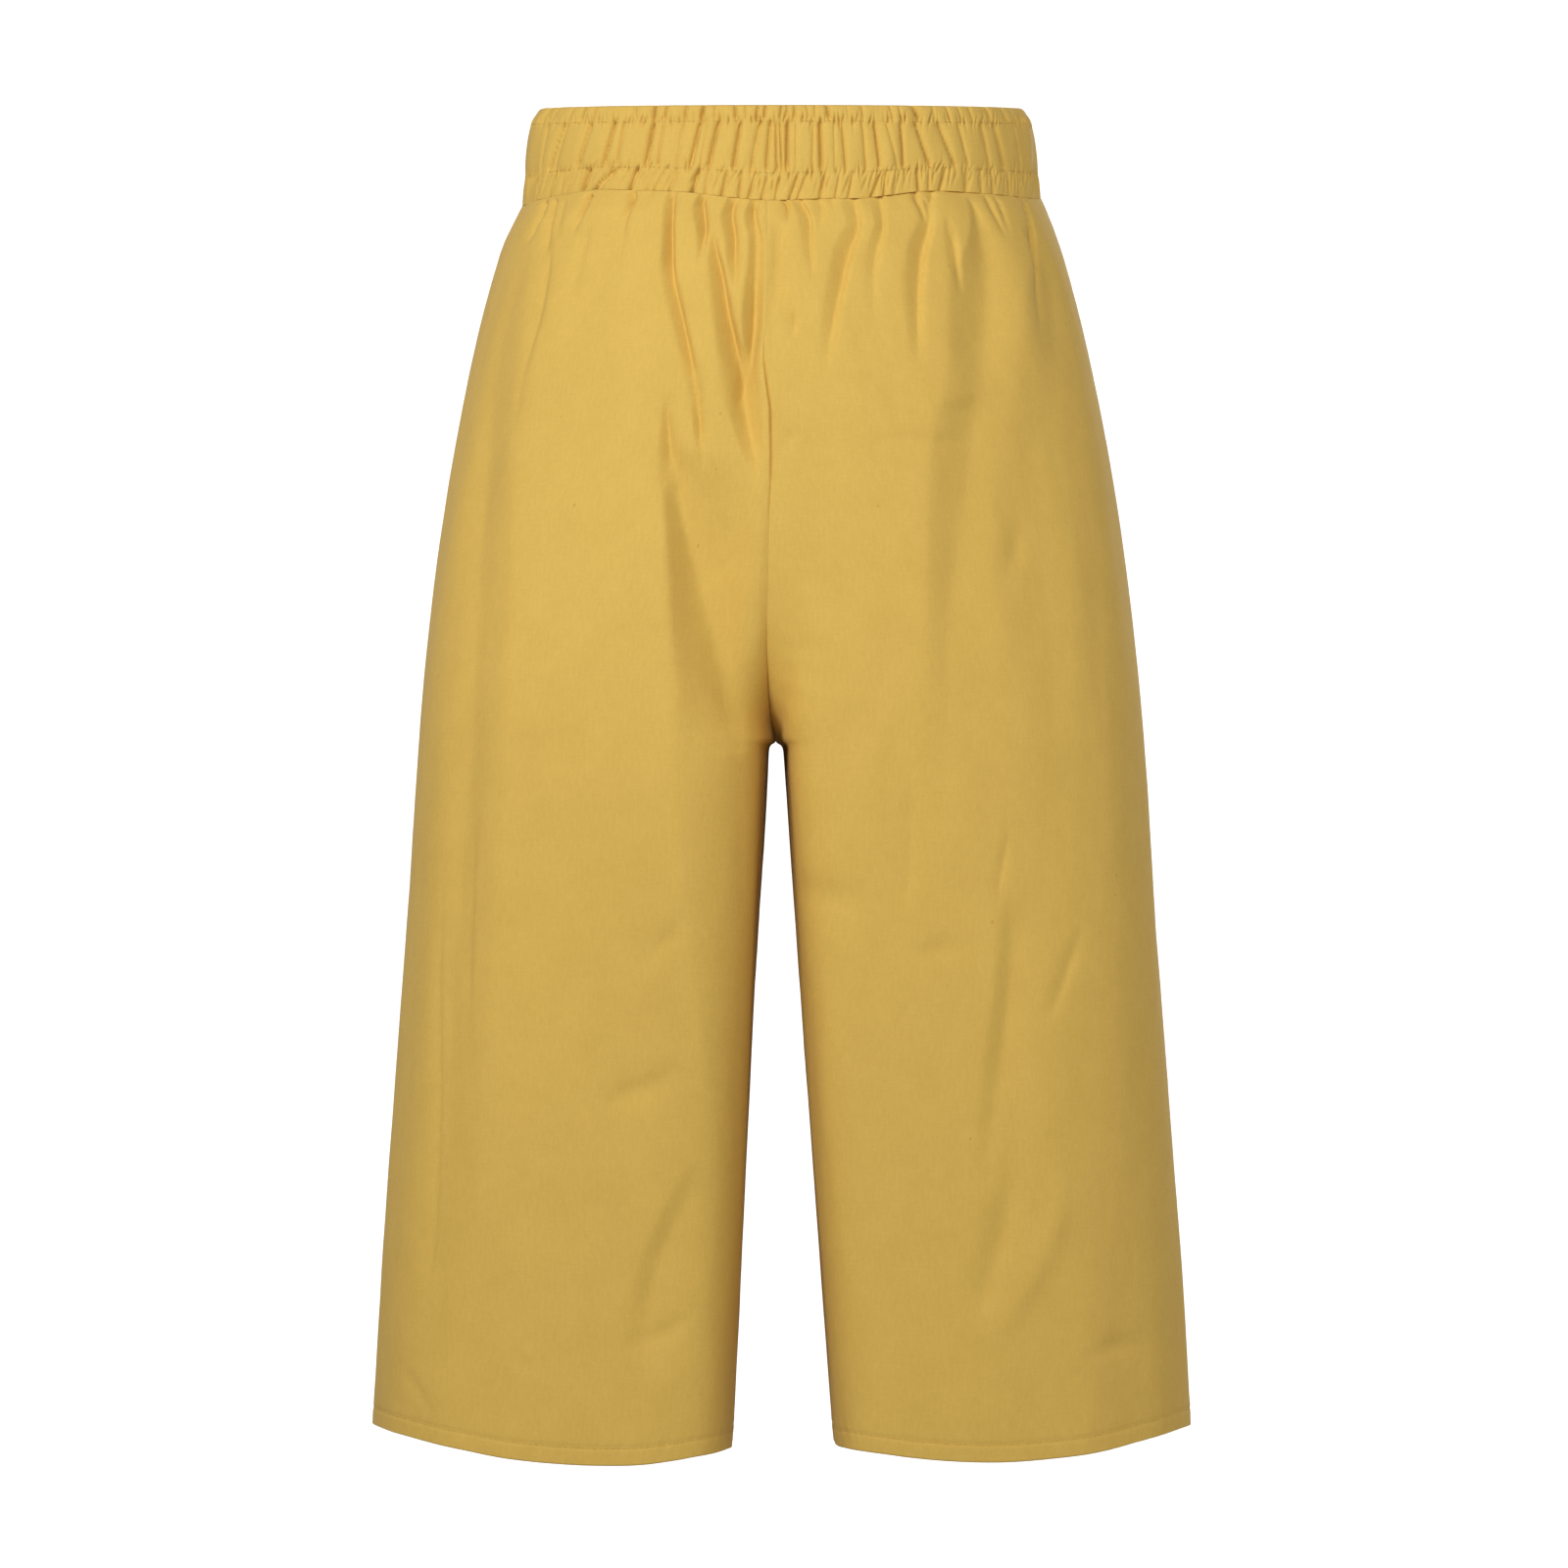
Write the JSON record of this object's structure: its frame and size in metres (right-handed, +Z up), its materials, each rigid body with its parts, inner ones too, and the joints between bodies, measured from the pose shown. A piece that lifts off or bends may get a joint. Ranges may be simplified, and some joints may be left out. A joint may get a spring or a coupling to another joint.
{
  "type": "culottes",
  "caption": "Loose knee-length culottes with a gathered elastic waistband and wide straight legs, in the round form they take when worn.",
  "frame": {"origin": "middle of the waistband, on the garment's middle line, where the wearer's waist holds it up", "axes": "+Z up the body, the front of the garment faces -Y, the wearer's left is +X"},
  "size_m": [0.446, 0.2763, 0.7401],
  "materials": {
    "woven_cloth": "matt plain weave",
    "gathered_casing": "matt plain weave, gathered on elastic"
  },
  "bodies": {
    "root": {"waistband": "gathered_casing", "front_panel_left": "woven_cloth", "front_panel_right": "woven_cloth", "back_panel_left": "woven_cloth", "back_panel_right": "woven_cloth"}
  },
  "joints": []
}
